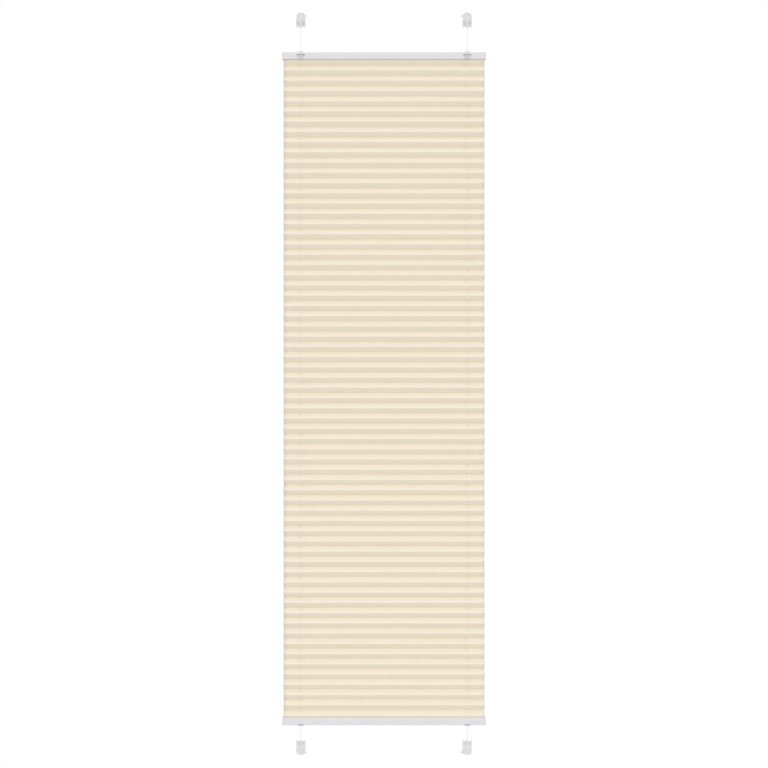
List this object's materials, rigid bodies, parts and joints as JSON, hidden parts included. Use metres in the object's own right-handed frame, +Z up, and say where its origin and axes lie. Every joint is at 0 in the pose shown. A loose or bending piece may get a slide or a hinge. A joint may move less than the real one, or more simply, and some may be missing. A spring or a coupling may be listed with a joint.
{
  "type": "pleated blind",
  "caption": "Pleated fabric window blind whose slim rails slide on taut cords between screw-fixed tension shoes.",
  "frame": {"origin": "midway between the two top screw holes, on the mounting plane", "axes": "+Z up along the cords, +X right along the rails, -Y into the room and +Y into the window"},
  "size_m": [0.45, 0.0228, 1.642],
  "materials": {
    "pleated_cloth": "matte woven polyester",
    "cord": "braided polyester",
    "rail_coat": "satin powder coat on an extrusion",
    "cap_plastic": "moulded, satin",
    "guide_plastic": "moulded, satin",
    "shoe_plastic": "moulded, half gloss",
    "white_plastic": "moulded, satin"
  },
  "bodies": {
    "fixings": {"pleated_fabric": "pleated_cloth", "left_cord": "cord", "right_cord": "cord", "top_left_shoe": "shoe_plastic", "top_right_shoe": "shoe_plastic", "bottom_left_shoe": "shoe_plastic", "bottom_right_shoe": "shoe_plastic", "top_left_fixing_plate": "white_plastic", "top_right_fixing_plate": "white_plastic", "bottom_left_fixing_plate": "white_plastic", "bottom_right_fixing_plate": "white_plastic", "top_left_cord_stop": "white_plastic", "top_right_cord_stop": "white_plastic", "bottom_left_cord_stop": "white_plastic", "bottom_right_cord_stop": "white_plastic"},
    "top_rail_unit": {"top_rail": "rail_coat", "top_batten": "white_plastic", "top_left_end_cap": "cap_plastic", "top_right_end_cap": "cap_plastic", "top_left_cord_guide": "guide_plastic", "top_right_cord_guide": "guide_plastic", "top_front_cross_cord": "cord", "top_back_cross_cord": "cord"},
    "bottom_rail_unit": {"bottom_rail": "rail_coat", "bottom_batten": "white_plastic", "bottom_left_end_cap": "cap_plastic", "bottom_right_end_cap": "cap_plastic", "bottom_left_cord_guide": "guide_plastic", "bottom_right_cord_guide": "guide_plastic", "bottom_front_cross_cord": "cord", "bottom_back_cross_cord": "cord"}
  },
  "joints": [
    {"name": "top_rail_slide", "type": "slide", "parent": "fixings", "child": "top_rail_unit", "axis": [0, 0, -1], "range_m": [0, 0.69], "deforming": ["pleated_fabric"]},
    {"name": "bottom_rail_slide", "type": "slide", "parent": "fixings", "child": "bottom_rail_unit", "axis": [0, 0, 1], "range_m": [0, 0.69], "deforming": ["pleated_fabric"]}
  ]
}
